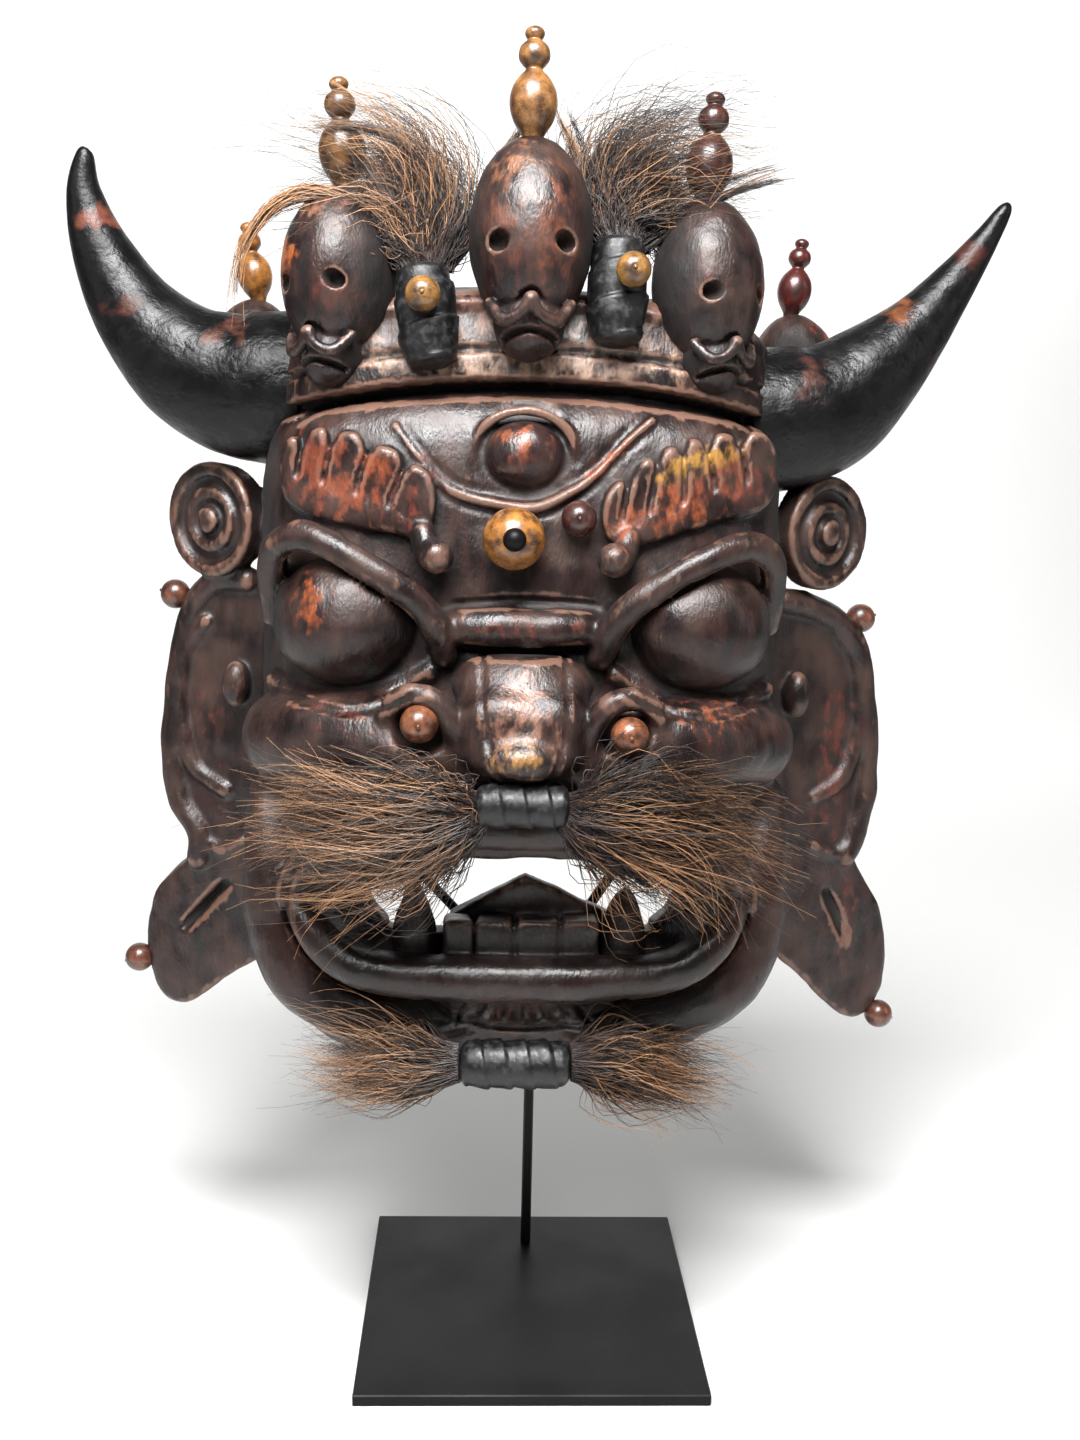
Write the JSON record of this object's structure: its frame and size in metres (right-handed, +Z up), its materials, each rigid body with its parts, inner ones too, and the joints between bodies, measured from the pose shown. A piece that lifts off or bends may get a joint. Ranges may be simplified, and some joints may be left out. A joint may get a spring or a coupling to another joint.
{
  "type": "dance mask",
  "caption": "Carved and painted wooden mask of a horned, three-eyed guardian with a skull crown, hair tufts and moustache, upright on a black steel stand.",
  "frame": {"origin": "middle of the base plate's underside", "axes": "+Z up, -Y the way the face looks, +X to the viewer's right"},
  "size_m": [0.3863, 0.1871, 0.5485],
  "materials": {
    "carved_wood": "aged dark stain with worn red and orange paint",
    "turned_wood": "polished, worn gilding and orange paint",
    "horn_black": "black lacquer worn to brown bands",
    "black_leather": "smooth, waxed",
    "hair": "coarse animal hair",
    "black_steel": "satin black powder coat"
  },
  "bodies": {
    "root": {"mask": "carved_wood", "horn_left": "horn_black", "horn_right": "horn_black", "skull_centre": "turned_wood", "skull_left": "turned_wood", "skull_right": "turned_wood", "skull_far_left": "turned_wood", "skull_far_right": "turned_wood", "finial_centre": "turned_wood", "finial_left": "turned_wood", "finial_right": "turned_wood", "finial_far_left": "turned_wood", "finial_far_right": "turned_wood", "bead_forehead": "turned_wood", "bead_brow": "turned_wood", "bead_nostril_left": "turned_wood", "bead_nostril_right": "turned_wood", "bead_ear_left_upper": "turned_wood", "bead_ear_left_lower": "turned_wood", "bead_ear_right_upper": "turned_wood", "bead_ear_right_lower": "turned_wood", "bead_tuft_left": "turned_wood", "bead_tuft_right": "turned_wood", "tuft_wrap_left": "black_leather", "tuft_wrap_right": "black_leather", "tuft_hair_left": "hair", "tuft_hair_right": "hair", "moustache_wrap": "black_leather", "moustache_hair_left": "hair", "moustache_hair_right": "hair", "goatee_wrap": "black_leather", "goatee_hair_left": "hair", "goatee_hair_right": "hair", "base_plate": "black_steel", "stand_rod": "black_steel"}
  },
  "joints": []
}
